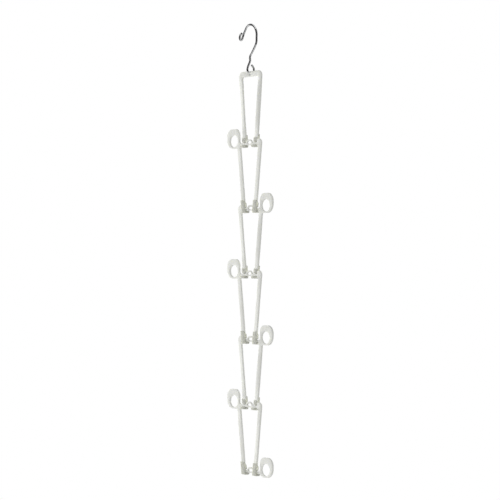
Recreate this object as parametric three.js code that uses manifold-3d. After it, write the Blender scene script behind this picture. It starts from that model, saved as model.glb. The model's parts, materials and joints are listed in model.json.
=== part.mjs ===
// A hanging chain of flat moulded links with rings for clothes hangers, under a chrome wire hook.
// Millimetres, +Z up. X runs along the links' bars, and +Y points to the back.
// The origin is the inside top of the wire hook, where it rests on a closet rod.
import * as THREE from 'three';
import { mergeVertices } from 'three/addons/utils/BufferGeometryUtils.js';
import Module from 'manifold-3d';

const wasm = await Module();
wasm.setup();

// Driving dimensions of the chain
const LINK_COUNT = 6;
const FIRST_BAR_DROP = 77.4;
const FIRST_LINK_PITCH = 112.3;
const LINK_PITCH = 105;
const LAYER_OFFSET = 2.1;
const SHEET_THICKNESS = 2.6;
const LEG_HALF_WIDTH = 4.4;
const LEG_END_GAP = 5;

// Top bar of the first link
const FIRST_BAR_HALF_LENGTH = 27.2;
const FIRST_BAR_HALF_HEIGHT = 4.5;
const FIRST_BAR_OUTER_ROUND = 9;
const FIRST_BAR_INNER_ROUND = 3;
const EYE_HOLE_RADIUS = 2.6;

// Legs, shoulder and wavy bar of the other links
const LEG_END_ROUND = 1.5;
const SHOULDER_X = 29.3;
const SHOULDER_TOP = 7.5;
const SHOULDER_INNER_X = 22.5;
const SHOULDER_OUTER_ROUND = 7;
const SHOULDER_INNER_ROUND = 4;
const SHOULDER_FOOT_ROUND = 1.4;
const BAR_HALF_HEIGHT = 2;
const BAR_LEG_ROUND = 4;
const VALLEY_X = 15.5;
const HUMP_TOP = 7.2;
const HUMP_TOP_HALF_WIDTH = 4.5;
const HUMP_TOP_ROUND = 7;
const HUMP_FOOT_HALF_WIDTH = 9.6;
const HUMP_FOOT_ROUND = 4;
const HUMP_EYE_Z = 2.35;
const HUMP_EYE_HALF_WIDTH = 5.4;
const HUMP_EYE_HALF_HEIGHT = 2.35;

// Ring, thick at the top and thin below its hole
const RING_WALL_X = 27;
const RING_REACH_X = 62;
const RING_TOP = 25.5;
const RING_BOTTOM = -6.2;
const RING_WALL_FOOT_ROUND = 4;
const RING_TOP_INNER_ROUND = 11;
const RING_TOP_OUTER_ROUND = 13;
const RING_BOTTOM_ROUND = 15;
const RING_LEG_ROUND = 2;
const RING_HOLE_X = 42.9;
const RING_HOLE_Z = 6;
const RING_HOLE_HALF_WIDTH = 10.8;
const RING_HOLE_HALF_HEIGHT = 9.7;

// Last piece
const END_BAR_REACH = 21.5;
const END_BAR_ROUND = 1.8;
const END_RING_FOOT_X = 33;
const END_RING_FOOT_ROUND = 8;

// Sleeve and hook of a tip, measured from the axis of the bar that it carries
const TIP_HALF_WIDTH = 5.4;
const TIP_HALF_THICKNESS = 2.3;
const TIP_TALL_TOP = 15.5;
const TIP_SHORT_TOP = 9.6;
const TIP_TALL_ROUND = 0.3;
const TIP_SHORT_ROUND = 0.8;
const TIP_BOTTOM = -5.6;
const TIP_HEEL_ROUND = 2;
const ROOF_Z = 3;
const ROOF_EDGE_ROUND = 0.5;
const ROOF_ROUND = 1.2;
const TROUGH_HALF_WIDTH = 2.7;
const TROUGH_ROUND = 0.55;
const LIP_THICKNESS = 1.8;
const LIP_TOP = -1.7;
const LIP_TOP_ROUND = 0.4;
const LIP_TOE_ROUND = 2.4;
const FIT_GAP = 0.3;

// Wire hook: bends in front view as [x, z], and at the eye in side view as [y, z above the eye's centre]
const WIRE_RADIUS = 1.6;
const ROD_ARC_RADIUS = 18.3;
const ROD_ARC_X = -1.5;
const ROD_ARC_DEGREES = [116, -10];
const EYE_RADIUS = 6.3;
const EYE_ARC_DEGREES = [180, 370];
const WIRE_ARC_STEP_DEGREES = 19;
const WIRE_CURL = [[-25.2, -10.4], [-28.6, -12.4], [-30.6, -16.2], [-29.2, -20.2], [-25.6, -21]];
const WIRE_LEAN = [[-22.6, -17.4], [-19.6, -12], [-16, -7.2]];
const WIRE_SHANK = [[16.0, -27], [10.8, -35.4], [3.6, -43.4], [-1.6, -49.4]];
const EYE_ENTRY = [[-1.2, 14], [-3.4, 8.6], [-5.6, 3.6]];
const EYE_TAIL = [[4.2, 4.8], [1.8, 7.2]];
const WIRE_SIDES = 8;
const WIRE_STEPS = 96;

// Facets of round stretches
const FILLET_STEP_DEGREES = 18;
const RING_STEP_DEGREES = 15;
const EYE_HOLE_STEP_DEGREES = 30;

const whitePlastic = new THREE.MeshStandardMaterial({ color: 0xeeeee8, roughness: 0.5, metalness: 0 });
const greyPlastic = new THREE.MeshStandardMaterial({ color: 0xb2b2a8, roughness: 0.6, metalness: 0 });
const chrome = new THREE.MeshStandardMaterial({ color: 0xd8dadc, roughness: 0.12, metalness: 1 });

// Points of an arc about a centre, from one angle to another in degrees.
function arcPoints(centre, radius, fromDegrees, toDegrees, stepDegrees) {
  const count = Math.max(1, Math.round(Math.abs(toDegrees - fromDegrees) / stepDegrees));
  return Array.from({ length: count + 1 }, (_, index) => {
    const angle = THREE.MathUtils.degToRad(fromDegrees + (toDegrees - fromDegrees) * index / count);
    return new THREE.Vector2(centre.x + radius * Math.cos(angle), centre.y + radius * Math.sin(angle));
  });
}

// A closed outline from corners [x, y, radius], with each corner rounded to its radius.
function roundedOutline(corners) {
  const count = corners.length;
  return corners.flatMap(([x, y, radius], index) => {
    const corner = new THREE.Vector2(x, y);
    if (radius === 0) return [corner];
    const [beforeX, beforeY] = corners[(index + count - 1) % count];
    const [afterX, afterY] = corners[(index + 1) % count];
    const back = new THREE.Vector2(beforeX - x, beforeY - y).normalize();
    const ahead = new THREE.Vector2(afterX - x, afterY - y).normalize();
    const half = Math.acos(THREE.MathUtils.clamp(back.dot(ahead), -1, 1)) / 2;
    const middle = back.clone().add(ahead).normalize();
    const centre = corner.clone().addScaledVector(middle, radius / Math.sin(half));
    const start = corner.clone().addScaledVector(back, radius / Math.tan(half)).sub(centre);
    const end = corner.clone().addScaledVector(ahead, radius / Math.tan(half)).sub(centre);
    const from = THREE.MathUtils.radToDeg(start.angle());
    const turn = THREE.MathUtils.radToDeg(Math.atan2(start.cross(end), start.dot(end)));
    return arcPoints(centre, radius, from, from + turn, FILLET_STEP_DEGREES);
  });
}

// A flat sheet from an outline in X and Z with round or oval holes, centred on Y = 0.
function sheetGeometry(outline, holes) {
  const shape = new THREE.Shape(outline);
  for (const hole of holes) {
    const circle = arcPoints(new THREE.Vector2(0, 0), 1, 0, 360, hole.stepDegrees).slice(1);
    shape.holes.push(new THREE.Path(circle.map((point) => point.multiply(hole.radii).add(hole.centre))));
  }
  const geometry = new THREE.ExtrudeGeometry(shape, { depth: SHEET_THICKNESS, bevelEnabled: false });
  geometry.rotateX(Math.PI / 2);
  return geometry.translate(0, SHEET_THICKNESS / 2, 0);
}

// The two legs of a link: their middle line at a height, for a shoulder half width and a pitch.
function legMiddle(shoulderX, pitch, z) {
  return shoulderX + (shoulderX - VALLEY_X) * z / pitch;
}

// Corners of one leg's foot, from the outer edge to the inner edge on the right.
function legFoot(shoulderX, pitch) {
  const z = LEG_END_GAP - pitch;
  const middle = legMiddle(shoulderX, pitch, z);
  return [[middle + LEG_HALF_WIDTH, z, LEG_END_ROUND], [middle - LEG_HALF_WIDTH, z, LEG_END_ROUND]];
}

const mirrored = (corners) => corners.map(([x, z, radius]) => [-x, z, radius]).reverse();

// The first link: a straight bar with a hole for the wire eye, and two legs.
function firstLinkGeometry() {
  const edge = (z, side) => legMiddle(FIRST_BAR_HALF_LENGTH, FIRST_LINK_PITCH, z) + side * LEG_HALF_WIDTH;
  const rightHalf = [
    [edge(FIRST_BAR_HALF_HEIGHT, 1), FIRST_BAR_HALF_HEIGHT, FIRST_BAR_OUTER_ROUND],
    ...legFoot(FIRST_BAR_HALF_LENGTH, FIRST_LINK_PITCH),
    [edge(-FIRST_BAR_HALF_HEIGHT, -1), -FIRST_BAR_HALF_HEIGHT, FIRST_BAR_INNER_ROUND],
  ];
  const eyeHole = {
    centre: new THREE.Vector2(0, 0),
    radii: new THREE.Vector2(EYE_HOLE_RADIUS, EYE_HOLE_RADIUS),
    stepDegrees: EYE_HOLE_STEP_DEGREES,
  };
  return sheetGeometry(roundedOutline([...rightHalf, ...mirrored(rightHalf)]), [eyeHole]);
}

// The wavy bar's upper edge: the hump between two valleys, and the foot of the ring's wall.
function waveTop() {
  return [
    [-HUMP_FOOT_HALF_WIDTH, BAR_HALF_HEIGHT, HUMP_FOOT_ROUND],
    [-HUMP_TOP_HALF_WIDTH, HUMP_TOP, HUMP_TOP_ROUND],
    [HUMP_TOP_HALF_WIDTH, HUMP_TOP, HUMP_TOP_ROUND],
    [HUMP_FOOT_HALF_WIDTH, BAR_HALF_HEIGHT, HUMP_FOOT_ROUND],
    [RING_WALL_X, BAR_HALF_HEIGHT, RING_WALL_FOOT_ROUND],
  ];
}

const humpEye = {
  centre: new THREE.Vector2(0, HUMP_EYE_Z),
  radii: new THREE.Vector2(HUMP_EYE_HALF_WIDTH, HUMP_EYE_HALF_HEIGHT),
  stepDegrees: RING_STEP_DEGREES,
};

const ringHole = {
  centre: new THREE.Vector2(RING_HOLE_X, RING_HOLE_Z),
  radii: new THREE.Vector2(RING_HOLE_HALF_WIDTH, RING_HOLE_HALF_HEIGHT),
  stepDegrees: RING_STEP_DEGREES,
};

// The ring's outer edge, clockwise from the wall beside the bar to the lower right.
function ringEdge() {
  return [
    [RING_WALL_X, RING_TOP, RING_TOP_INNER_ROUND],
    [RING_REACH_X, RING_TOP, RING_TOP_OUTER_ROUND],
    [RING_REACH_X, RING_BOTTOM, RING_BOTTOM_ROUND],
  ];
}

// A ringed link: left shoulder and leg, wavy bar, and a ring beside the top of the right leg.
function ringedLinkGeometry() {
  const edge = (z, side) => legMiddle(SHOULDER_X, LINK_PITCH, z) + side * LEG_HALF_WIDTH;
  const leftFoot = mirrored(legFoot(SHOULDER_X, LINK_PITCH));
  const outline = [
    ...leftFoot,
    [-edge(SHOULDER_TOP, 1), SHOULDER_TOP, SHOULDER_OUTER_ROUND],
    [-SHOULDER_INNER_X, SHOULDER_TOP, SHOULDER_INNER_ROUND],
    [-SHOULDER_INNER_X, BAR_HALF_HEIGHT, SHOULDER_FOOT_ROUND],
    ...waveTop(),
    ...ringEdge(),
    [edge(RING_BOTTOM, 1), RING_BOTTOM, RING_LEG_ROUND],
    ...legFoot(SHOULDER_X, LINK_PITCH),
    [edge(-BAR_HALF_HEIGHT, -1), -BAR_HALF_HEIGHT, BAR_LEG_ROUND],
    [-edge(-BAR_HALF_HEIGHT, -1), -BAR_HALF_HEIGHT, BAR_LEG_ROUND],
  ];
  return sheetGeometry(roundedOutline(outline), [ringHole, humpEye]);
}

// The end piece: the wavy bar and the ring alone.
function endPieceGeometry() {
  const outline = [
    [-END_BAR_REACH, -BAR_HALF_HEIGHT, END_BAR_ROUND],
    [-END_BAR_REACH, BAR_HALF_HEIGHT, END_BAR_ROUND],
    ...waveTop(),
    ...ringEdge(),
    [END_RING_FOOT_X, RING_BOTTOM, END_RING_FOOT_ROUND],
    [RING_WALL_X, -BAR_HALF_HEIGHT, END_RING_FOOT_ROUND],
  ];
  return sheetGeometry(roundedOutline(outline), [ringHole, humpEye]);
}

// A closed mesh as a solid for cutting.
function solidOf(geometry) {
  const bare = geometry.clone();
  bare.deleteAttribute('normal');
  bare.deleteAttribute('uv');
  const merged = mergeVertices(bare, 1e-4);
  const mesh = new wasm.Mesh({
    numProp: 3,
    vertProperties: Float32Array.from(merged.getAttribute('position').array),
    triVerts: Uint32Array.from(merged.getIndex().array),
  });
  return new wasm.Manifold(mesh);
}

// One closed mesh with another cut out of it.
function cutGeometry(body, cutter) {
  const { vertProperties, triVerts } = solidOf(body).subtract(solidOf(cutter)).getMesh();
  const geometry = new THREE.BufferGeometry();
  geometry.setAttribute('position', new THREE.BufferAttribute(vertProperties, 3));
  geometry.setIndex(new THREE.BufferAttribute(triVerts, 1));
  geometry.computeVertexNormals();
  return geometry;
}

// A tip's side view in Y and Z: a sleeve, a back wall that runs on down, and a hook with a lip in front.
function tipProfile() {
  const floor = -TROUGH_HALF_WIDTH;
  const wallInner = TROUGH_HALF_WIDTH - LAYER_OFFSET;
  const lipInner = -LAYER_OFFSET - TROUGH_HALF_WIDTH;
  const lipOuter = lipInner - LIP_THICKNESS;
  return roundedOutline([
    [TIP_HALF_THICKNESS, TIP_BOTTOM, TIP_HEEL_ROUND],
    [TIP_HALF_THICKNESS, TIP_TALL_TOP, TIP_TALL_ROUND],
    [-TIP_HALF_THICKNESS, TIP_SHORT_TOP, TIP_SHORT_ROUND],
    [-TIP_HALF_THICKNESS, ROOF_Z, ROOF_EDGE_ROUND],
    [wallInner, ROOF_Z, ROOF_ROUND],
    [wallInner, floor, TROUGH_ROUND],
    [lipInner, floor, TROUGH_ROUND],
    [lipInner, LIP_TOP, LIP_TOP_ROUND],
    [lipOuter, LIP_TOP, LIP_TOP_ROUND],
    [lipOuter, TIP_BOTTOM, LIP_TOE_ROUND],
  ]);
}

// A tip: a sleeve over a leg's end that runs under the next link's bar and up beyond it.
// Its place is in the link's own frame, at one side, leaning as the leg leans.
function tipGeometry(shoulderX, pitch, side) {
  const width = { depth: 2 * TIP_HALF_WIDTH, bevelEnabled: false };
  const body = new THREE.ExtrudeGeometry(new THREE.Shape(tipProfile()), width);
  body.translate(0, 0, -TIP_HALF_WIDTH);
  body.applyMatrix4(new THREE.Matrix4().makeBasis(
    new THREE.Vector3(0, 1, 0), new THREE.Vector3(0, 0, 1), new THREE.Vector3(1, 0, 0)));
  const pocketFloor = LEG_END_GAP - FIT_GAP;
  const pocketTop = TIP_TALL_TOP + 1;
  const pocket = new THREE.BoxGeometry(
    2 * (LEG_HALF_WIDTH + FIT_GAP), SHEET_THICKNESS + 2 * FIT_GAP, pocketTop - pocketFloor);
  pocket.translate(0, 0, (pocketTop + pocketFloor) / 2);
  const lean = side * (shoulderX - VALLEY_X) / pitch;
  const place = new THREE.Matrix4().set(
    1, 0, lean, side * VALLEY_X, 0, 1, 0, 0, 0, 0, 1, -pitch, 0, 0, 0, 1);
  return cutGeometry(body.applyMatrix4(place), pocket.applyMatrix4(place));
}

// Points of an arc of the wire as [across, up].
function wireArc(centre, radius, [fromDegrees, toDegrees]) {
  const points = arcPoints(centre, radius, fromDegrees, toDegrees, WIRE_ARC_STEP_DEGREES);
  return points.map((point) => point.toArray());
}

// The wire's middle line: outward curl, leaning side, rod arc, leaning shank, twist and the eye below.
function wirePath() {
  const eyeBottom = EYE_HOLE_RADIUS - FIT_GAP - WIRE_RADIUS - FIRST_BAR_DROP;
  const eyeZ = eyeBottom + EYE_RADIUS;
  const rodCentre = new THREE.Vector2(ROD_ARC_X, WIRE_RADIUS - ROD_ARC_RADIUS);
  const inFront = ([x, z]) => new THREE.Vector3(x, 0, z);
  const across = ([y, z]) => new THREE.Vector3(0, y, eyeZ + z);
  const rodArc = wireArc(rodCentre, ROD_ARC_RADIUS, ROD_ARC_DEGREES);
  const eyeArc = wireArc(new THREE.Vector2(0, 0), EYE_RADIUS, EYE_ARC_DEGREES);
  return new THREE.CatmullRomCurve3([
    ...[...WIRE_CURL, ...WIRE_LEAN, ...rodArc, ...WIRE_SHANK].map(inFront),
    ...[...EYE_ENTRY, ...eyeArc, ...EYE_TAIL].map(across),
  ]);
}

// The chrome hook: round wire swept along its middle line.
function hookGeometry() {
  const section = new THREE.Shape(
    arcPoints(new THREE.Vector2(0, 0), WIRE_RADIUS, 0, 360, 360 / WIRE_SIDES).slice(1));
  const sweep = { steps: WIRE_STEPS, extrudePath: wirePath(), bevelEnabled: false };
  return new THREE.ExtrudeGeometry(section, sweep);
}

// A named mesh added to a group.
function addPiece(group, name, geometry, material) {
  const piece = new THREE.Mesh(geometry, material);
  piece.name = name;
  group.add(piece);
}

// A group at the bar's axis of the link with this number. Even links are turned half round, in front.
function linkGroup(number) {
  const group = new THREE.Group();
  const turned = number % 2 === 0;
  const drop = number === 1 ? 0 : FIRST_LINK_PITCH + (number - 2) * LINK_PITCH;
  group.position.set(0, turned ? -LAYER_OFFSET : 0, -FIRST_BAR_DROP - drop);
  group.rotation.z = turned ? Math.PI : 0;
  return group;
}

const hanger = new THREE.Group();
addPiece(hanger, 'wire_hook', hookGeometry(), chrome);

for (let number = 1; number <= LINK_COUNT; number += 1) {
  const group = linkGroup(number);
  const shoulderX = number === 1 ? FIRST_BAR_HALF_LENGTH : SHOULDER_X;
  const pitch = number === 1 ? FIRST_LINK_PITCH : LINK_PITCH;
  const frame = number === 1 ? firstLinkGeometry() : ringedLinkGeometry();
  addPiece(group, `link_${number}_frame`, frame, whitePlastic);
  for (const side of [-1, 1]) {
    const onLeft = number % 2 === 0 ? side > 0 : side < 0;
    const name = `link_${number}_${onLeft ? 'left' : 'right'}_tip`;
    addPiece(group, name, tipGeometry(shoulderX, pitch, side), greyPlastic);
  }
  hanger.add(group);
}

const endGroup = linkGroup(LINK_COUNT + 1);
addPiece(endGroup, 'end_ring', endPieceGeometry(), whitePlastic);
hanger.add(endGroup);

export default hanger;
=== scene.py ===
"""A hanging chain of flat white links with rings, under a chrome wire hook, dressed for its picture."""
from __future__ import annotations

import json
import logging
import math
from dataclasses import dataclass
from enum import Enum

import bmesh
import bpy
from mathutils import Matrix, Vector

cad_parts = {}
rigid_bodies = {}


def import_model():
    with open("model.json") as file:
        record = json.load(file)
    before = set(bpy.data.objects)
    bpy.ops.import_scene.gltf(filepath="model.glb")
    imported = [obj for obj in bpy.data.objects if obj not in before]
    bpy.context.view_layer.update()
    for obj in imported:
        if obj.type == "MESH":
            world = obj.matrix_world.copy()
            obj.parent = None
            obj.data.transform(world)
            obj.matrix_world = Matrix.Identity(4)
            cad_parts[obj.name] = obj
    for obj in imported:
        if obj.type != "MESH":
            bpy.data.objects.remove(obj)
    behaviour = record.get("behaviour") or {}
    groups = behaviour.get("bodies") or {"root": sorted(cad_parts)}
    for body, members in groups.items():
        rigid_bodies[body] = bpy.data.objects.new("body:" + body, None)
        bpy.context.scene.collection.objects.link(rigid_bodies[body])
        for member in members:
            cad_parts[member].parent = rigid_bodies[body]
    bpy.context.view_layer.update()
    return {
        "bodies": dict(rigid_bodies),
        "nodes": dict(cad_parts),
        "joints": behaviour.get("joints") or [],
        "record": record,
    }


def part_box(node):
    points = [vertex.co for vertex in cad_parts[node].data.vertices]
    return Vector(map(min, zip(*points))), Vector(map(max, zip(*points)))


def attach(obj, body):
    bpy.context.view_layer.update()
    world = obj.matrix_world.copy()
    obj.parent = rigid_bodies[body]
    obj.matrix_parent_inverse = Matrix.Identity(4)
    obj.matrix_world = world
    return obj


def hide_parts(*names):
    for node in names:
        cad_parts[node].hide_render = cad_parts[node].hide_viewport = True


log = logging.getLogger("hanger")

MM = 0.001
WELD_MM = 0.001
SHARP_SHEET_DEGREES = 50.0
SHARP_TIP_DEGREES = 40.0
SHARP_WIRE_DEGREES = 60.0
IMAGE_WIDTH_PX = 500
SENSOR_MM = 36.0


class Side(Enum):
    """The side of a link that a leg and its tip are on, in the link's own frame."""

    LEFT = -1
    RIGHT = 1


@dataclass(frozen=True)
class Corner:
    """A corner of a flat outline, in mm, with the radius of its round."""

    x: float
    z: float
    radius: float

    def mirrored(self) -> Corner:
        """The same corner on the other side of the middle."""
        return Corner(-self.x, self.z, self.radius)

    def tangent_length(self, before: Corner, after: Corner) -> float:
        """How far from the corner its round begins.

        Args:
            before: The corner before this one on the outline.
            after: The corner after this one on the outline.

        Returns:
            The length along either edge that the round takes.
        """
        back = Vector((before.x - self.x, before.z - self.z))
        ahead = Vector((after.x - self.x, after.z - self.z))
        return self.radius / math.tan(back.angle(ahead) / 2)


@dataclass(frozen=True)
class Round:
    """A circle that the wire follows, in mm: its middle across and up, and its radius."""

    across: float
    up: float
    radius: float

    def point(self, degrees: float) -> tuple[float, float]:
        """The point of the circle at an angle, counter-clockwise from straight across."""
        angle = math.radians(degrees)
        return self.across + self.radius * math.cos(angle), self.up + self.radius * math.sin(angle)

    def points(self, start: float, step: float, count: int) -> list[tuple[float, float]]:
        """Points along the circle.

        Args:
            start: The angle of the first point, in degrees.
            step: The angle from each point to the next.
            count: How many points.

        Returns:
            The points.
        """
        return [self.point(start + step * index) for index in range(count)]


@dataclass(frozen=True)
class Hole:
    """A round or oval hole through a sheet, in mm, whose rim has a number of straight edges."""

    x: float
    z: float
    half_width: float
    half_height: float
    segments: int

    @property
    def place(self) -> Matrix:
        """From a unit circle in XY to the hole's rim in XZ."""
        turn = Matrix.Rotation(math.pi / 2, 4, "X")
        return Matrix.Translation((self.x, 0.0, self.z)) @ turn @ Matrix.Diagonal(
            (self.half_width, self.half_height, 1.0, 1.0))


class Outline:
    """A closed flat outline in a bmesh, in the XZ plane, filled as one face."""

    round_segments = 10

    def __init__(self, mesh: bmesh.types.BMesh) -> None:
        """Start on an empty bmesh."""
        self.mesh = mesh

    def draw(self, corners: list[Corner]) -> None:
        """Draw the outline and round its corners.

        Args:
            corners: The corners, in clockwise order.
        """
        verts = [self.mesh.verts.new((corner.x, 0.0, corner.z)) for corner in corners]
        self.mesh.faces.new(verts)
        for index, (vert, corner) in enumerate(zip(verts, corners)):
            after = corners[(index + 1) % len(corners)]
            bmesh.ops.bevel(
                self.mesh, geom=[vert], offset=corner.tangent_length(corners[index - 1], after),
                offset_type="OFFSET", affect="VERTICES", segments=self.round_segments, profile=0.5,
                material=-1, clamp_overlap=False)


@dataclass(frozen=True)
class RimStep:
    """One step of a rounded rim, in mm: how far it draws in and how far it rises."""

    inset: float
    rise: float


@dataclass(frozen=True)
class Rim:
    """A moulded rim, from the parting line at half thickness up to the flat face."""

    steps: tuple[RimStep, ...]

    def scaled(self, share: float) -> Rim:
        """The same rim drawn in less, for a narrow web."""
        return Rim(tuple(RimStep(step.inset * share, step.rise) for step in self.steps))


LINK_RIM = Rim((
    RimStep(0.0, 0.10), RimStep(0.05, 0.04), RimStep(0.0, 0.68), RimStep(0.06, 0.20),
    RimStep(0.12, 0.14), RimStep(0.20, 0.09), RimStep(0.28, 0.05)))


class Sheet:
    """A flat moulding: an outline with holes, raised on both sides of its middle plane."""

    cut_snap = 0.0005

    def __init__(self, corners: list[Corner], holes: list[Hole], rim: Rim) -> None:
        """Mould the sheet.

        Args:
            corners: The outline, in mm, clockwise.
            holes: The holes through the sheet.
            rim: The rounded rim of every edge.
        """
        self.mesh = bmesh.new()
        Outline(self.mesh).draw(corners)
        bmesh.ops.delete(self.mesh, geom=self.mesh.faces[:], context="FACES_ONLY")
        for hole in holes:
            bmesh.ops.create_circle(self.mesh, radius=1.0, segments=hole.segments, matrix=hole.place)
        faces = self.fill(self.mesh.edges[:])
        for step in rim.steps:
            bmesh.ops.inset_region(
                self.mesh, faces=faces, thickness=step.inset, depth=step.rise,
                use_boundary=True, use_even_offset=True)
            faces = self.refill(faces)
        bmesh.ops.mirror(
            self.mesh, geom=self.mesh.verts[:] + self.mesh.edges[:] + self.mesh.faces[:],
            matrix=Matrix.Identity(4), merge_dist=WELD_MM, axis="Y")
        bmesh.ops.recalc_face_normals(self.mesh, faces=self.mesh.faces[:])

    def fill(self, edges: list[bmesh.types.BMEdge]) -> list[bmesh.types.BMFace]:
        """Fill closed loops of edges, one inside the other, with faces that look to the front.

        Args:
            edges: The edges of all the loops.

        Returns:
            The new faces.
        """
        filled = bmesh.ops.triangle_fill(self.mesh, use_beauty=True, edges=edges, normal=(0.0, -1.0, 0.0))
        faces = [item for item in filled["geom"] if isinstance(item, bmesh.types.BMFace)]
        turned = [face for face in faces if face.normal.y > 0.0]
        bmesh.ops.reverse_faces(self.mesh, faces=turned)
        return faces

    def refill(self, faces: list[bmesh.types.BMFace]) -> list[bmesh.types.BMFace]:
        """Fill a flat region afresh, so that no triangle folds over as its edge draws in.

        Args:
            faces: The faces of the region.

        Returns:
            The new faces.
        """
        region = set(faces)
        edges = dict.fromkeys(edge for face in faces for edge in face.edges)
        inner = [edge for edge in edges if region.issuperset(edge.link_faces)]
        border = [edge for edge in edges if not region.issuperset(edge.link_faces)]
        bmesh.ops.delete(self.mesh, geom=faces, context="FACES_ONLY")
        bmesh.ops.delete(self.mesh, geom=inner, context="EDGES")
        return self.fill(border)

    def cut_across(self, heights: list[float]) -> None:
        """Cut the sheet's faces across at some heights, so that it can bend there.

        Args:
            heights: The heights of the cuts, in mm.
        """
        for height in heights:
            bmesh.ops.bisect_plane(
                self.mesh, geom=self.mesh.verts[:] + self.mesh.edges[:] + self.mesh.faces[:],
                dist=self.cut_snap, plane_co=(0.0, 0.0, height), plane_no=(0.0, 0.0, 1.0))


@dataclass(frozen=True)
class Leg:
    """The two leaning legs of a link, in mm from the axis of its top bar."""

    shoulder_x: float
    foot_x: float
    pitch: float
    twist_degrees: float
    half_width: float = 4.4
    end_gap: float = 5.0
    end_round: float = 1.5
    twist_from: float = -14.0
    twist_ramp: float = 18.0
    twist_cuts: int = 16
    sleeve_top: float = 17.0

    @property
    def lean(self) -> float:
        """How far a leg leans outwards for each mm of height."""
        return (self.shoulder_x - self.foot_x) / self.pitch

    @property
    def end_z(self) -> float:
        """The height of the leg's end."""
        return self.end_gap - self.pitch

    @property
    def twist_to(self) -> float:
        """The height of the twist's lower end, at the top of the sleeve."""
        return self.sleeve_top - self.pitch

    def middle(self, z: float) -> float:
        """The x of the right leg's middle line at a height."""
        return self.shoulder_x + self.lean * z

    def outer(self, z: float) -> float:
        """The x of the right leg's outer edge at a height."""
        return self.middle(z) + self.half_width

    def inner(self, z: float) -> float:
        """The x of the right leg's inner edge at a height."""
        return self.middle(z) - self.half_width

    def right_foot(self) -> list[Corner]:
        """The corners of the right foot, from its outer edge to its inner edge."""
        z = self.end_z
        return [Corner(self.outer(z), z, self.end_round), Corner(self.inner(z), z, self.end_round)]

    def left_foot(self) -> list[Corner]:
        """The corners of the left foot, from its inner edge to its outer edge."""
        return [corner.mirrored() for corner in reversed(self.right_foot())]

    def twist_share(self, z: float) -> float:
        """How much of the twist a height has: none at the bar and in the sleeve, all between."""
        near = min(self.twist_from - z, z - self.twist_to) / self.twist_ramp
        share = min(1.0, max(0.0, near))
        return share * share * (3.0 - 2.0 * share)

    def twist(self, sheet: Sheet) -> None:
        """Turn each leg a little about its own middle line, as the moulding is dished.

        Args:
            sheet: The link's sheet.
        """
        start, cuts = self.twist_from, self.twist_cuts
        sheet.cut_across([start + (self.twist_to - start) * cut / cuts for cut in range(cuts + 1)])
        for vert in sheet.mesh.verts:
            share = self.twist_share(vert.co.z)
            if share > 0.0:
                side = math.copysign(1.0, vert.co.x)
                centre = Vector((side * self.middle(vert.co.z), 0.0, vert.co.z))
                turn = Matrix.Rotation(side * math.radians(self.twist_degrees) * share, 3, "Z")
                vert.co = centre + turn @ (vert.co - centre)


@dataclass(frozen=True)
class Wave:
    """The wavy top bar that a tip hooks under: two valleys with a hump between, in mm."""

    half_height: float = 2.0
    valley_x: float = 15.5
    hump_top: float = 7.2
    hump_top_x: float = 4.5
    hump_top_round: float = 7.0
    hump_foot_x: float = 9.6
    hump_foot_round: float = 4.0
    eye: Hole = Hole(0.0, 2.35, half_width=5.4, half_height=2.35, segments=64)

    def top(self) -> list[Corner]:
        """The upper edge, from the left valley over the hump to the right valley."""
        right = [
            Corner(self.hump_top_x, self.hump_top, self.hump_top_round),
            Corner(self.hump_foot_x, self.half_height, self.hump_foot_round),
        ]
        return [*(corner.mirrored() for corner in reversed(right)), *right]


@dataclass(frozen=True)
class RingEye:
    """The ring beside a bar, that takes a clothes hanger's hook: thick above and thin below, in mm."""

    wall_x: float = 27.0
    reach_x: float = 62.0
    top: float = 25.5
    bottom: float = -6.2
    wall_foot_round: float = 4.0
    top_inner_round: float = 11.0
    top_outer_round: float = 13.0
    bottom_round: float = 15.0
    leg_round: float = 2.0
    hole: Hole = Hole(42.9, 6.0, half_width=10.8, half_height=9.7, segments=64)

    def edge(self, bar_top: float) -> list[Corner]:
        """The outer edge, clockwise from the wall's foot on the bar to the lower right.

        Args:
            bar_top: The height of the bar's upper edge.

        Returns:
            The corners.
        """
        return [
            Corner(self.wall_x, bar_top, self.wall_foot_round),
            Corner(self.wall_x, self.top, self.top_inner_round),
            Corner(self.reach_x, self.top, self.top_outer_round),
            Corner(self.reach_x, self.bottom, self.bottom_round),
        ]


class Piece:
    """A finished mesh object of the hanger that rides on a body."""

    def __init__(self, name: str, body: str, node: str, slot: str) -> None:
        """Name a piece and what it stands for.

        Args:
            name: The object's name.
            body: The body that it rides on.
            node: The frame's node that it replaces.
            slot: The name of a material slot; it is kept but not used.
        """
        self.name = name
        self.body = body
        self.node = node
        self.slot = slot

    def finish(self, mesh: bmesh.types.BMesh, place: Matrix, material: bpy.types.Material,
               sharp_degrees: float) -> None:
        """Put a bmesh in its place as an object, and let it stand for its node.

        Args:
            mesh: The shape, which is used up.
            place: From the shape's own mm to metres in the frame.
            material: The finish.
            sharp_degrees: The angle from which an edge stays sharp.
        """
        bmesh.ops.transform(mesh, matrix=place, verts=mesh.verts[:])
        data = bpy.data.meshes.new(self.name)
        mesh.to_mesh(data)
        mesh.free()
        data.shade_smooth()
        data.set_sharp_from_angle(angle=math.radians(sharp_degrees))
        data.materials.append(material)
        piece = bpy.data.objects.new(self.name, data)
        bpy.context.scene.collection.objects.link(piece)
        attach(piece, self.body)
        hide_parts(self.node)
        log.info("%s: %d faces on %s", self.name, len(data.polygons), self.body)


class Socket(Enum):
    """The kinds of socket on the shared node groups."""

    PLACE = "NodeSocketVector"
    COLOUR = "NodeSocketColor"
    VALUE = "NodeSocketFloat"


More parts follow.
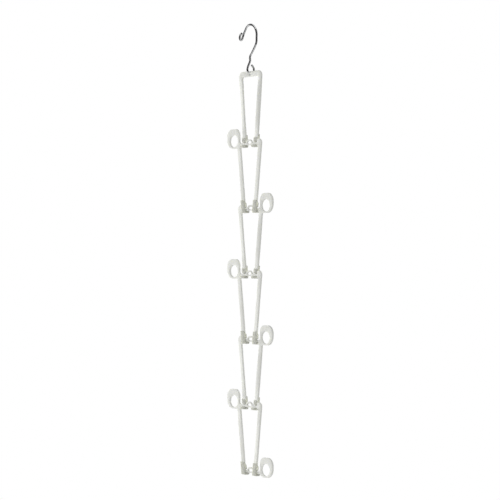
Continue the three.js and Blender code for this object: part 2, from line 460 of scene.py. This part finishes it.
class NodeSheet:
    """A node tree under construction, for a material, a world or a node group."""

    def __init__(self, tree: bpy.types.NodeTree) -> None:
        """Work on a node tree."""
        self.tree = tree

    def add(self, kind: str) -> bpy.types.Node:
        """Add a node of a kind."""
        return self.tree.nodes.new(kind)

    def add_group(self, group: bpy.types.NodeTree) -> bpy.types.Node:
        """Place a shared node group."""
        node = self.add("ShaderNodeGroup")
        node.node_tree = group
        return node

    def add_maths(self, operation: str, first: bpy.types.NodeSocket,
                  second: bpy.types.NodeSocket) -> bpy.types.NodeSocket:
        """Work out one value from two.

        Args:
            operation: What is done with them.
            first: The first value.
            second: The second value.

        Returns:
            The result.
        """
        node = self.add("ShaderNodeMath")
        node.operation = operation
        self.link(first, node.inputs[0])
        self.link(second, node.inputs[1])
        return node.outputs["Value"]

    def add_spread(self, value: bpy.types.NodeSocket, low: float, high: float) -> bpy.types.Node:
        """Spread a value out, so that two levels of it become the ends of a range.

        Args:
            value: The value.
            low: The level that becomes the lower end.
            high: The level that becomes the upper end.

        Returns:
            The node, whose range is 0 to 1 until it is given another.
        """
        node = self.add("ShaderNodeMapRange")
        node.inputs["From Min"].default_value = low
        node.inputs["From Max"].default_value = high
        self.link(value, node.inputs["Value"])
        return node

    def link(self, source: bpy.types.NodeSocket, target: bpy.types.NodeSocket) -> None:
        """Join an output to an input."""
        self.tree.links.new(source, target)


class MaterialSheet(NodeSheet):
    """The node tree of a new material."""

    def __init__(self, name: str) -> None:
        """Make the material, with an empty tree."""
        self.material = bpy.data.materials.new(name)
        self.material.use_nodes = True
        self.material.node_tree.nodes.clear()
        super().__init__(self.material.node_tree)

    def finish(self, shader: bpy.types.Node) -> bpy.types.Material:
        """Give the material its surface, and hand it over."""
        output = self.add("ShaderNodeOutputMaterial")
        self.link(shader.outputs[0], output.inputs["Surface"])
        return self.material


class GroupSheet(NodeSheet):
    """The node tree of a new shared group."""

    noise_roughness = 0.55

    def __init__(self, name: str, takes: dict[str, Socket], gives: dict[str, Socket]) -> None:
        """Make the group with its sockets.

        Args:
            name: The group's name.
            takes: Its inputs.
            gives: Its outputs.
        """
        super().__init__(bpy.data.node_groups.new(name, "ShaderNodeTree"))
        for in_out, sockets in (("INPUT", takes), ("OUTPUT", gives)):
            for label, kind in sockets.items():
                self.tree.interface.new_socket(label, in_out=in_out, socket_type=kind.value)
        self.entry = self.add("NodeGroupInput")
        self.leave = self.add("NodeGroupOutput")

    def add_noise(self, detail: float) -> bpy.types.Node:
        """Add a noise texture on the group's Place, with a number of finer layers."""
        node = self.add("ShaderNodeTexNoise")
        node.inputs["Detail"].default_value = detail
        node.inputs["Roughness"].default_value = self.noise_roughness
        self.link(self.entry.outputs["Place"], node.inputs["Vector"])
        return node


class FinishGroups:
    """Node groups that the finishes share."""

    mottle_detail = 3.0
    mottle_span = (0.3, 0.7)
    grain_detail = 2.0
    patch_detail = 4.0
    patch_scale = 90.0
    patch_span = (0.32, 0.68)

    def __init__(self) -> None:
        """Build each group once."""
        self.moulding = self.build_moulding()
        self.handling = self.build_handling()

    def build_moulding(self) -> bpy.types.NodeTree:
        """Soft colour flow of a moulding, with a fine grain.

        Returns:
            A group with Place, two colours and two scales in, and Colour and Height out.
        """
        sheet = GroupSheet(
            "moulding_grain",
            {"Place": Socket.PLACE, "Pale": Socket.COLOUR, "Deep": Socket.COLOUR,
             "Mottle scale": Socket.VALUE, "Grain scale": Socket.VALUE},
            {"Colour": Socket.COLOUR, "Height": Socket.VALUE})
        entry, leave = sheet.entry, sheet.leave
        mottle = sheet.add_noise(self.mottle_detail)
        sheet.link(entry.outputs["Mottle scale"], mottle.inputs["Scale"])
        grain = sheet.add_noise(self.grain_detail)
        sheet.link(entry.outputs["Grain scale"], grain.inputs["Scale"])
        share = sheet.add_spread(mottle.outputs["Fac"], *self.mottle_span)
        mix = sheet.add("ShaderNodeMix")
        mix.data_type = "RGBA"
        sheet.link(share.outputs["Result"], mix.inputs["Factor"])
        sheet.link(entry.outputs["Pale"], mix.inputs["A"])
        sheet.link(entry.outputs["Deep"], mix.inputs["B"])
        sheet.link(mix.outputs["Result"], leave.inputs["Colour"])
        sheet.link(grain.outputs["Fac"], leave.inputs["Height"])
        return sheet.tree

    def build_handling(self) -> bpy.types.NodeTree:
        """Patches where hands and hangers have dulled a surface.

        Returns:
            A group with Place, Smooth and Dull in, and Roughness out.
        """
        sheet = GroupSheet(
            "handling_marks",
            {"Place": Socket.PLACE, "Smooth": Socket.VALUE, "Dull": Socket.VALUE},
            {"Roughness": Socket.VALUE})
        patches = sheet.add_noise(self.patch_detail)
        patches.inputs["Scale"].default_value = self.patch_scale
        level = sheet.add_spread(patches.outputs["Fac"], *self.patch_span)
        sheet.link(sheet.entry.outputs["Smooth"], level.inputs["To Min"])
        sheet.link(sheet.entry.outputs["Dull"], level.inputs["To Max"])
        sheet.link(level.outputs["Result"], sheet.leave.inputs["Roughness"])
        return sheet.tree


@dataclass(frozen=True)
class Grain:
    """What every finish has: two colours that flow into each other, a gloss and a fine grain."""

    pale: tuple[float, float, float]
    deep: tuple[float, float, float]
    smooth: float
    dull: float
    mottle_scale: float
    grain_scale: float
    grain_depth: float
    grain_strength: float

    def lay(self, sheet: MaterialSheet, groups: FinishGroups) -> bpy.types.Node:
        """Lay the grain on a new shader.

        Args:
            sheet: The material's sheet.
            groups: The shared node groups.

        Returns:
            The shader.
        """
        coordinates = sheet.add("ShaderNodeTexCoord")
        moulding = sheet.add_group(groups.moulding)
        sheet.link(coordinates.outputs["Object"], moulding.inputs["Place"])
        moulding.inputs["Pale"].default_value = (*self.pale, 1.0)
        moulding.inputs["Deep"].default_value = (*self.deep, 1.0)
        moulding.inputs["Mottle scale"].default_value = self.mottle_scale
        moulding.inputs["Grain scale"].default_value = self.grain_scale
        handling = sheet.add_group(groups.handling)
        sheet.link(coordinates.outputs["Object"], handling.inputs["Place"])
        handling.inputs["Smooth"].default_value = self.smooth
        handling.inputs["Dull"].default_value = self.dull
        bump = sheet.add("ShaderNodeBump")
        bump.inputs["Strength"].default_value = self.grain_strength
        bump.inputs["Distance"].default_value = self.grain_depth
        sheet.link(moulding.outputs["Height"], bump.inputs["Height"])
        shader = sheet.add("ShaderNodeBsdfPrincipled")
        sheet.link(moulding.outputs["Colour"], shader.inputs["Base Color"])
        sheet.link(handling.outputs["Roughness"], shader.inputs["Roughness"])
        sheet.link(bump.outputs["Normal"], shader.inputs["Normal"])
        return shader


@dataclass(frozen=True)
class PlasticFinish:
    """A moulded plastic: its grain, its shine and how light glows inside it."""

    name: str
    grain: Grain
    specular: float
    glow_share: float
    glow_depth: float
    glow_reach: tuple[float, float, float] = (1.0, 1.0, 0.9)

    def dress(self, groups: FinishGroups) -> bpy.types.Material:
        """Make the material.

        Args:
            groups: The shared node groups.

        Returns:
            The material.
        """
        sheet = MaterialSheet(self.name)
        shader = self.grain.lay(sheet, groups)
        shader.inputs["Specular IOR Level"].default_value = self.specular
        shader.inputs["Subsurface Weight"].default_value = self.glow_share
        shader.inputs["Subsurface Scale"].default_value = self.glow_depth
        shader.inputs["Subsurface Radius"].default_value = self.glow_reach
        return sheet.finish(shader)


@dataclass(frozen=True)
class ChromeFinish:
    """Bright plated steel wire, whose grain is its drawn lines."""

    name: str
    grain: Grain

    def dress(self, groups: FinishGroups) -> bpy.types.Material:
        """Make the material.

        Args:
            groups: The shared node groups.

        Returns:
            The material.
        """
        sheet = MaterialSheet(self.name)
        shader = self.grain.lay(sheet, groups)
        shader.inputs["Metallic"].default_value = 1.0
        return sheet.finish(shader)


LINK_WHITE = PlasticFinish(
    name="link_white", specular=0.45, glow_share=0.25, glow_depth=0.001,
    grain=Grain(
        pale=(0.87, 0.875, 0.835), deep=(0.835, 0.84, 0.795), smooth=0.36, dull=0.52, mottle_scale=60.0,
        grain_scale=2600.0, grain_depth=0.00004, grain_strength=0.5))
TIP_GREY = PlasticFinish(
    name="tip_grey", specular=0.35, glow_share=0.6, glow_depth=0.003,
    grain=Grain(
        pale=(0.60, 0.605, 0.545), deep=(0.535, 0.54, 0.485), smooth=0.55, dull=0.72, mottle_scale=240.0,
        grain_scale=1800.0, grain_depth=0.00009, grain_strength=0.5))
HOOK_CHROME = ChromeFinish(
    name="hook_chrome",
    grain=Grain(
        pale=(0.80, 0.805, 0.81), deep=(0.72, 0.725, 0.73), smooth=0.07, dull=0.16, mottle_scale=180.0,
        grain_scale=3000.0, grain_depth=0.00002, grain_strength=0.25))


@dataclass(frozen=True)
class Finishes:
    """The materials of the hanger."""

    white: bpy.types.Material
    grey: bpy.types.Material
    chrome: bpy.types.Material

    @staticmethod
    def dress() -> Finishes:
        """Make the three materials on shared node groups."""
        groups = FinishGroups()
        return Finishes(LINK_WHITE.dress(groups), TIP_GREY.dress(groups), HOOK_CHROME.dress(groups))


@dataclass(frozen=True)
class Tip:
    """A grey tip: a sleeve over a leg's end with a hook under the next bar, in mm from that bar's axis."""

    half_width: float = 5.4
    half_thickness: float = 2.3
    top: float = 15.5
    short_top: float = 9.6
    bottom: float = -5.6
    roof: float = 3.0
    layer_offset: float = 2.1
    trough_half_width: float = 2.7
    lip_thickness: float = 1.8
    lip_top: float = -1.7
    lip_foot_round: float = 2.4
    lip_top_round: float = 0.4
    trough_round: float = 0.55
    roof_round: float = 1.2
    roof_front_round: float = 0.5
    short_top_round: float = 0.8
    top_round: float = 0.3
    back_foot_round: float = 2.0
    # The rim stays smaller than the rounds of the side view, or an end face folds over the trough.
    rim: float = 0.25
    rim_segments: int = 3
    wall: float = 0.4
    pocket_floor: float = 4.7
    end_facing: float = 0.99
    slope_facing: float = 0.4

    def profile(self) -> list[Corner]:
        """The side view, with depth along x: a sleeve, a back wall that runs on down, a seat and a lip."""
        wall_inner = self.trough_half_width - self.layer_offset
        lip_inner = -self.layer_offset - self.trough_half_width
        lip_outer = lip_inner - self.lip_thickness
        return [
            Corner(lip_outer, self.bottom, self.lip_foot_round),
            Corner(lip_outer, self.lip_top, self.lip_top_round),
            Corner(lip_inner, self.lip_top, self.lip_top_round),
            Corner(lip_inner, -self.trough_half_width, self.trough_round),
            Corner(wall_inner, -self.trough_half_width, self.trough_round),
            Corner(wall_inner, self.roof, self.roof_round),
            Corner(-self.half_thickness, self.roof, self.roof_front_round),
            Corner(-self.half_thickness, self.short_top, self.short_top_round),
            Corner(self.half_thickness, self.top, self.top_round),
            Corner(self.half_thickness, self.bottom, self.back_foot_round),
        ]

    def shape(self, leg: Leg, side: Side) -> bmesh.types.BMesh:
        """Build the tip on one leg, in the link's own frame.

        Args:
            leg: The legs that it is pushed on.
            side: Which leg.

        Returns:
            The shape, in mm.
        """
        mesh = bmesh.new()
        Outline(mesh).draw(self.profile())
        turn = Matrix.Rotation(math.pi / 2, 4, "Z")
        bmesh.ops.transform(mesh, matrix=turn, verts=mesh.verts[:])
        bmesh.ops.translate(mesh, vec=(-self.half_width, 0.0, 0.0), verts=mesh.verts[:])
        grown = bmesh.ops.extrude_face_region(mesh, geom=mesh.faces[:])
        ends = [item for item in grown["geom"] if isinstance(item, bmesh.types.BMVert)]
        bmesh.ops.translate(mesh, vec=(2 * self.half_width, 0.0, 0.0), verts=ends)
        bmesh.ops.recalc_face_normals(mesh, faces=mesh.faces[:])
        sides = [face for face in mesh.faces if abs(face.normal.x) > self.end_facing]
        rims = [edge for face in sides for edge in face.edges]
        bmesh.ops.bevel(
            mesh, geom=rims, offset=self.rim, offset_type="OFFSET", affect="EDGES",
            segments=self.rim_segments, profile=0.5, material=-1, clamp_overlap=False)
        self.open_pocket(mesh)
        lean = side.value * leg.lean
        place = Matrix(((1.0, 0.0, lean, side.value * leg.foot_x), (0.0, 1.0, 0.0, 0.0),
                        (0.0, 0.0, 1.0, -leg.pitch), (0.0, 0.0, 0.0, 1.0)))
        bmesh.ops.transform(mesh, matrix=place, verts=mesh.verts[:])
        return mesh

    def open_pocket(self, mesh: bmesh.types.BMesh) -> None:
        """Sink the pocket that takes the leg's end into the top of the sleeve.

        Args:
            mesh: The tip before it leans.
        """
        steep = self.slope_facing
        sloping = [face for face in mesh.faces if face.normal.z > steep and face.normal.y < -steep]
        top_face = max(sloping, key=lambda face: face.calc_area())
        bmesh.ops.inset_individual(mesh, faces=[top_face], thickness=self.wall, use_even_offset=True)
        grown = bmesh.ops.extrude_discrete_faces(mesh, faces=[top_face])
        floor = grown["faces"][0]
        for vert in floor.verts:
            vert.co.z = self.pocket_floor


@dataclass(frozen=True)
class Link:
    """A link of the chain at its place: a white frame and two grey tips."""

    number: int
    bar_axis: Vector
    leg: Leg
    tip: Tip
    wave: Wave
    ring: RingEye
    first_bar_half_height: float = 4.5
    first_outer_round: float = 9.0
    first_inner_round: float = 3.0
    first_rim_share: float = 0.6
    eye_hole_radius: float = 2.6
    eye_hole_segments: int = 32
    shoulder_top: float = 7.5
    shoulder_inner_x: float = 22.5
    shoulder_outer_round: float = 7.0
    shoulder_inner_round: float = 4.0
    shoulder_foot_round: float = 1.4
    bar_leg_round: float = 4.0

    @property
    def body(self) -> str:
        """The body that the link rides on."""
        return f"link_{self.number}"

    @property
    def turned(self) -> bool:
        """Whether the link hangs turned half round."""
        return self.number % 2 == 0

    @property
    def place(self) -> Matrix:
        """From the link's own mm to metres in the frame."""
        turn = Matrix.Rotation(math.pi if self.turned else 0.0, 4, "Z")
        return Matrix.Translation(self.bar_axis) @ turn @ Matrix.Scale(MM, 4)

    def build(self, finishes: Finishes) -> None:
        """Build and dress the frame and both tips.

        Args:
            finishes: The materials.
        """
        sheet = self.first_sheet() if self.number == 1 else self.ringed_sheet()
        self.leg.twist(sheet)
        name = f"{self.body}_frame"
        Piece(f"{name}_moulding", self.body, name, "link_white").finish(
            sheet.mesh, self.place, finishes.white, SHARP_SHEET_DEGREES)
        for side in Side:
            on_left = (side is Side.LEFT) != self.turned
            name = f"{self.body}_{'left' if on_left else 'right'}_tip"
            Piece(f"{name}_sleeve", self.body, name, "tip_grey").finish(
                self.tip.shape(self.leg, side), self.place, finishes.grey, SHARP_TIP_DEGREES)

    def first_sheet(self) -> Sheet:
        """The first link: a straight bar with a hole for the wire eye, and two legs."""
        half = self.first_bar_half_height
        right = [
            Corner(self.leg.outer(half), half, self.first_outer_round), *self.leg.right_foot(),
            Corner(self.leg.inner(-half), -half, self.first_inner_round),
        ]
        left = [corner.mirrored() for corner in reversed(right)]
        hole = Hole(0.0, 0.0, self.eye_hole_radius, self.eye_hole_radius, self.eye_hole_segments)
        return Sheet([*right, *left], [hole], LINK_RIM.scaled(self.first_rim_share))

    def ringed_sheet(self) -> Sheet:
        """A ringed link: left shoulder and leg, wavy bar, and a ring beside the top of the right leg."""
        leg, ring = self.leg, self.ring
        high, low = self.wave.half_height, -self.wave.half_height
        shoulder = self.shoulder_top
        corners = [
            *leg.left_foot(),
            Corner(-leg.outer(shoulder), shoulder, self.shoulder_outer_round),
            Corner(-self.shoulder_inner_x, shoulder, self.shoulder_inner_round),
            Corner(-self.shoulder_inner_x, high, self.shoulder_foot_round),
            *self.wave.top(),
            *ring.edge(high),
            Corner(leg.outer(ring.bottom), ring.bottom, ring.leg_round),
            *leg.right_foot(),
            Corner(leg.inner(low), low, self.bar_leg_round),
            Corner(-leg.inner(low), low, self.bar_leg_round),
        ]
        return Sheet(corners, [ring.hole, self.wave.eye], LINK_RIM)


@dataclass(frozen=True)
class EndPiece:
    """The short last piece: the wavy bar and a ring, with no legs."""

    bar_axis: Vector
    wave: Wave
    ring: RingEye
    reach: float = 21.5
    end_round: float = 1.8
    ring_foot_x: float = 33.0
    ring_foot_round: float = 8.0

    def build(self, finishes: Finishes) -> None:
        """Build and dress the piece.

        Args:
            finishes: The materials.
        """
        half = self.wave.half_height
        corners = [
            Corner(-self.reach, -half, self.end_round),
            Corner(-self.reach, half, self.end_round),
            *self.wave.top(),
            *self.ring.edge(half),
            Corner(self.ring_foot_x, self.ring.bottom, self.ring_foot_round),
            Corner(self.ring.wall_x, -half, self.ring_foot_round),
        ]
        sheet = Sheet(corners, [self.ring.hole, self.wave.eye], LINK_RIM)
        place = Matrix.Translation(self.bar_axis) @ Matrix.Scale(MM, 4)
        Piece("end_ring_moulding", "end", "end_ring", "link_white").finish(
            sheet.mesh, place, finishes.white, SHARP_SHEET_DEGREES)


@dataclass(frozen=True)
class WireHook:
    """The chrome hook: one bent wire, in mm from where it rests on the rod."""

    bar_drop: float
    wire_radius: float = 1.6
    rod_arc_radius: float = 18.3
    rod_arc_x: float = -1.5
    rod_arc_start: float = 116.0
    rod_arc_step: float = -18.0
    rod_arc_points: int = 8
    eye_radius: float = 6.3
    eye_start: float = 180.0
    eye_step: float = 19.0
    eye_points: int = 11
    fit_gap: float = 0.3
    end_round: float = 0.7
    end_segments: int = 4
    steps_around: int = 8
    steps_along: int = 10

    def path(self) -> list[Vector]:
        """The wire's middle line: outward curl, leaning side, rod arc, shank, twist and the eye below."""
        eye_z = Link.eye_hole_radius - self.fit_gap - self.wire_radius - self.bar_drop + self.eye_radius
        rod = Round(self.rod_arc_x, self.wire_radius - self.rod_arc_radius, self.rod_arc_radius)
        eye = Round(0.0, eye_z, self.eye_radius)
        curl = [(-25.2, -10.4), (-28.6, -12.4), (-30.6, -16.2), (-29.2, -20.2), (-25.6, -21.0)]
        lean = [(-22.6, -17.4), (-19.6, -12.0), (-16.0, -7.2)]
        arc = rod.points(self.rod_arc_start, self.rod_arc_step, self.rod_arc_points)
        shank = [(16.0, -27.0), (10.8, -35.4), (3.6, -43.4), (-1.6, -49.4)]
        entry = [(-1.2, eye_z + 14.0), (-3.4, eye_z + 8.6), (-5.6, eye_z + 3.6)]
        turn = eye.points(self.eye_start, self.eye_step, self.eye_points)
        tail = [(4.2, eye_z + 4.8), (1.8, eye_z + 7.2)]
        in_front = [Vector((x, 0.0, z)) for x, z in (*curl, *lean, *arc, *shank)]
        across = [Vector((0.0, y, z)) for y, z in (*entry, *turn, *tail)]
        return in_front + across

    def build(self, finishes: Finishes) -> None:
        """Build and dress the wire.

        Args:
            finishes: The materials.
        """
        curve = bpy.data.curves.new("wire_line", "CURVE")
        curve.dimensions = "3D"
        curve.bevel_depth = self.wire_radius
        curve.bevel_resolution = self.steps_around
        curve.resolution_u = self.steps_along
        curve.use_fill_caps = True
        points = self.path()
        spline = curve.splines.new("BEZIER")
        spline.bezier_points.add(len(points) - 1)
        for knot, point in zip(spline.bezier_points, points):
            knot.co = point
            knot.handle_left_type = "AUTO"
            knot.handle_right_type = "AUTO"
        line = bpy.data.objects.new("wire_line", curve)
        bpy.context.scene.collection.objects.link(line)
        swept = line.evaluated_get(bpy.context.evaluated_depsgraph_get()).to_mesh()
        mesh = bmesh.new()
        mesh.from_mesh(swept)
        bpy.data.objects.remove(line)
        bmesh.ops.remove_doubles(mesh, verts=mesh.verts[:], dist=WELD_MM)
        bmesh.ops.recalc_face_normals(mesh, faces=mesh.faces[:])
        caps = [face for face in mesh.faces if len(face.verts) > 4]
        rims = [edge for cap in caps for edge in cap.edges]
        bmesh.ops.bevel(
            mesh, geom=rims, offset=self.end_round, offset_type="OFFSET", affect="EDGES",
            segments=self.end_segments, profile=0.5, material=-1, clamp_overlap=True)
        Piece("wire_hook_bend", "hook", "wire_hook", "hook_chrome").finish(
            mesh, Matrix.Scale(MM, 4), finishes.chrome, SHARP_WIRE_DEGREES)


@dataclass(frozen=True)
class Chain:
    """The whole hanger, set out on the frame's joints."""

    link_count: int = 6
    first_shoulder_x: float = 27.2
    shoulder_x: float = 29.3
    twists: tuple[float, ...] = (6.0, 0.5, 4.5, 2.0, 4.0, 2.5)

    def build(self, frame: dict, finishes: Finishes) -> None:
        """Build every piece of the hanger.

        Args:
            frame: The loaded frame.
            finishes: The materials.
        """
        pivots = {joint["child"]: Vector(joint["pos_m"]) for joint in frame["joints"]}
        first_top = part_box("link_1_frame")[1].z
        axes = [Vector((0.0, 0.0, first_top - Link.first_bar_half_height * MM))]
        axes += [pivots[f"link_{number}"] for number in range(2, self.link_count + 1)]
        axes.append(pivots["end"])
        tip, wave, ring = Tip(), Wave(), RingEye()
        WireHook(bar_drop=-axes[0].z / MM).build(finishes)
        for number in range(1, self.link_count + 1):
            pitch = (axes[number - 1].z - axes[number].z) / MM
            shoulder = self.first_shoulder_x if number == 1 else self.shoulder_x
            leg = Leg(shoulder, wave.valley_x, pitch, self.twists[number - 1])
            Link(number, axes[number - 1], leg, tip, wave, ring).build(finishes)
        EndPiece(axes[-1], wave, ring).build(finishes)


@dataclass(frozen=True)
class Window:
    """An opening in the dark band, in degrees counter-clockwise from +X and upwards."""

    azimuth: tuple[float, float]
    elevation: tuple[float, float]

    def holds(self, azimuth: float, elevation: float) -> bool:
        """Whether a direction is in the opening."""
        across = self.azimuth[0] < azimuth % 360.0 < self.azimuth[1]
        return across and self.elevation[0] < elevation < self.elevation[1]


@dataclass(frozen=True)
class ReflectedBand:
    """The dark band that gives bright wire its dark body, with openings for its lights."""

    radius: float = 6.0
    elevation: float = 55.0
    row_count: int = 22
    column_count: int = 72
    windows: tuple[Window, ...] = (
        Window((190.0, 230.0), (-56.0, -8.0)),
        Window((160.0, 210.0), (9.0, 25.0)),
        Window((25.0, 50.0), (-25.0, 45.0)),
    )

    def shape(self) -> bmesh.types.BMesh:
        """Spin the band round and open its windows.

        Returns:
            The shape, round the point that it surrounds.
        """
        mesh = bmesh.new()
        rows = [self.elevation * (2 * row / self.row_count - 1) for row in range(self.row_count + 1)]
        heights = [self.radius * math.tan(math.radians(row)) for row in rows]
        line = [mesh.verts.new((self.radius, 0.0, height)) for height in heights]
        edges = [mesh.edges.new(pair) for pair in zip(line, line[1:])]
        bmesh.ops.spin(
            mesh, geom=line + edges, cent=(0.0, 0.0, 0.0), axis=(0.0, 0.0, 1.0), angle=2 * math.pi,
            steps=self.column_count, use_merge=True)
        bmesh.ops.delete(mesh, geom=[face for face in mesh.faces if self.is_open(face)], context="FACES")
        return mesh

    def is_open(self, face: bmesh.types.BMFace) -> bool:
        """Whether a face of the band lies in one of the windows."""
        middle = face.calc_center_median()
        azimuth = math.degrees(math.atan2(middle.y, middle.x))
        elevation = math.degrees(math.atan2(middle.z, math.hypot(middle.x, middle.y)))
        return any(window.holds(azimuth, elevation) for window in self.windows)


@dataclass(frozen=True)
class Studio:
    """A pale floor far below, a white surround and soft lamps."""

    floor_z: float = -1.2
    floor_radius: float = 1.1
    floor_segments: int = 96
    floor_grey: float = 0.9
    fade_from: float = 0.35
    fade_to: float = 0.95
    band_grey: float = 0.04
    surround_light: float = 0.60
    lamp_direction: tuple[float, float, float] = (-0.97, -0.19, -0.05)
    lamp_distance: float = 4.0
    lamp_size: float = 1.5
    key_watts: float = 100.0
    fill_watts: float = 135.0
    aim: tuple[float, float, float] = (0.0, 0.0, -0.36)
    band: ReflectedBand = ReflectedBand()

    def build(self) -> None:
        """Build the floor, the surround, the lamps and the dark band."""
        self.build_floor()
        self.build_surround()
        self.build_lamps()
        self.build_band()

    def build_floor(self) -> None:
        """A round pale floor whose rim fades into the white surround."""
        mesh = bmesh.new()
        bmesh.ops.create_circle(mesh, cap_ends=True, radius=self.floor_radius, segments=self.floor_segments)
        bmesh.ops.translate(mesh, vec=(0.0, 0.0, self.floor_z), verts=mesh.verts[:])
        sheet = MaterialSheet("floor_pale")
        paper = sheet.add("ShaderNodeBsdfDiffuse")
        paper.inputs["Color"].default_value = (self.floor_grey, self.floor_grey, self.floor_grey, 1.0)
        glow = sheet.add("ShaderNodeEmission")
        place = sheet.add("ShaderNodeTexCoord")
        flat = sheet.add("ShaderNodeVectorMath")
        flat.operation = "MULTIPLY"
        flat.inputs[1].default_value = (1.0, 1.0, 0.0)
        sheet.link(place.outputs["Object"], flat.inputs[0])
        reach = sheet.add("ShaderNodeVectorMath")
        reach.operation = "LENGTH"
        sheet.link(flat.outputs["Vector"], reach.inputs[0])
        fade = sheet.add_spread(
            reach.outputs["Value"], self.fade_from * self.floor_radius, self.fade_to * self.floor_radius)
        seen = sheet.add("ShaderNodeLightPath")
        share = sheet.add_maths("MULTIPLY", seen.outputs["Is Camera Ray"], fade.outputs["Result"])
        mix = sheet.add("ShaderNodeMixShader")
        sheet.link(share, mix.inputs["Fac"])
        sheet.link(paper.outputs["BSDF"], mix.inputs[1])
        sheet.link(glow.outputs["Emission"], mix.inputs[2])
        self.add_stage("floor", mesh, sheet.finish(mix))

    def build_surround(self) -> None:
        """A white world to look at, with a plain level of light."""
        world = bpy.data.worlds.new("surround")
        bpy.context.scene.world = world
        world.use_nodes = True
        world.node_tree.nodes.clear()
        sheet = NodeSheet(world.node_tree)
        seen = sheet.add("ShaderNodeLightPath")
        direct = sheet.add_maths("MAXIMUM", seen.outputs["Is Camera Ray"], seen.outputs["Is Glossy Ray"])
        white = sheet.add_maths("MAXIMUM", direct, seen.outputs["Is Transmission Ray"])
        strength = sheet.add_spread(white, 0.0, 1.0)
        strength.inputs["To Min"].default_value = self.surround_light
        strength.inputs["To Max"].default_value = 1.0
        background = sheet.add("ShaderNodeBackground")
        background.inputs["Color"].default_value = (1.0, 1.0, 1.0, 1.0)
        sheet.link(strength.outputs["Result"], background.inputs["Strength"])
        output = sheet.add("ShaderNodeOutputWorld")
        sheet.link(background.outputs["Background"], output.inputs["Surface"])

    def build_lamps(self) -> None:
        """Two soft lamps to the left, so far round that they graze the flat faces."""
        self.add_lamp("key", self.key_watts, True)
        self.add_lamp("fill", self.fill_watts, False)

    def add_lamp(self, name: str, watts: float, shadow: bool) -> None:
        """Add a lamp at the grazing place.

        Args:
            name: The lamp's name.
            watts: Its power.
            shadow: Whether it casts shadows; the one that doesn't keeps the joints from going black.
        """
        lamp = bpy.data.lights.new(name, "AREA")
        lamp.shape = "SQUARE"
        lamp.size = self.lamp_size
        lamp.energy = watts
        lamp.use_shadow = shadow
        place = bpy.data.objects.new(name, lamp)
        direction = Vector(self.lamp_direction).normalized()
        place.location = Vector(self.aim) + direction * self.lamp_distance
        place.rotation_euler = direction.to_track_quat("Z", "Y").to_euler()
        place.visible_glossy = False
        bpy.context.scene.collection.objects.link(place)

    def build_band(self) -> None:
        """A dark band far round the chain, which only its reflections show."""
        sheet = MaterialSheet("band_dark")
        felt = sheet.add("ShaderNodeBsdfDiffuse")
        felt.inputs["Color"].default_value = (self.band_grey, self.band_grey, self.band_grey, 1.0)
        mesh = self.band.shape()
        bmesh.ops.translate(mesh, vec=self.aim, verts=mesh.verts[:])
        band = self.add_stage("band", mesh, sheet.finish(felt))
        band.visible_camera = False
        band.visible_diffuse = False
        band.visible_shadow = False
        band.visible_transmission = False

    @staticmethod
    def add_stage(name: str, mesh: bmesh.types.BMesh, material: bpy.types.Material) -> bpy.types.Object:
        """Add an object that isn't part of the hanger.

        Args:
            name: The object's name.
            mesh: The shape, which is used up.
            material: Its finish.

        Returns:
            The object.
        """
        data = bpy.data.meshes.new(name)
        mesh.to_mesh(data)
        mesh.free()
        data.materials.append(material)
        thing = bpy.data.objects.new(name, data)
        bpy.context.scene.collection.objects.link(thing)
        return thing


@dataclass(frozen=True)
class PictureCamera:
    """The camera of the picture, to the right of the chain's front."""

    azimuth_degrees: float = 55.0
    distance: float = 3.6
    eye_z: float = -0.37
    aim: tuple[float, float, float] = (0.0006, -0.0017, -0.3596)
    focal_px: float = 2247.8

    def build(self) -> None:
        """Make the camera and use it."""
        data = bpy.data.cameras.new("picture")
        data.sensor_fit = "HORIZONTAL"
        data.sensor_width = SENSOR_MM
        data.lens = self.focal_px * SENSOR_MM / IMAGE_WIDTH_PX
        camera = bpy.data.objects.new("picture", data)
        angle = math.radians(self.azimuth_degrees)
        camera.location = (
            self.aim[0] + self.distance * math.sin(angle), self.aim[1] - self.distance * math.cos(angle),
            self.eye_z)
        camera.rotation_euler = (camera.location - Vector(self.aim)).to_track_quat("Z", "Y").to_euler()
        bpy.context.scene.collection.objects.link(camera)
        bpy.context.scene.camera = camera


def main() -> None:
    """Load the frame, and build the hanger, its studio and the camera."""
    logging.basicConfig(level=logging.INFO, format="%(name)s: %(message)s")
    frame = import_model()
    bpy.context.scene.view_settings.view_transform = "Standard"
    Chain().build(frame, Finishes.dress())
    Studio().build()
    PictureCamera().build()


if __name__ == "__main__":
    main()
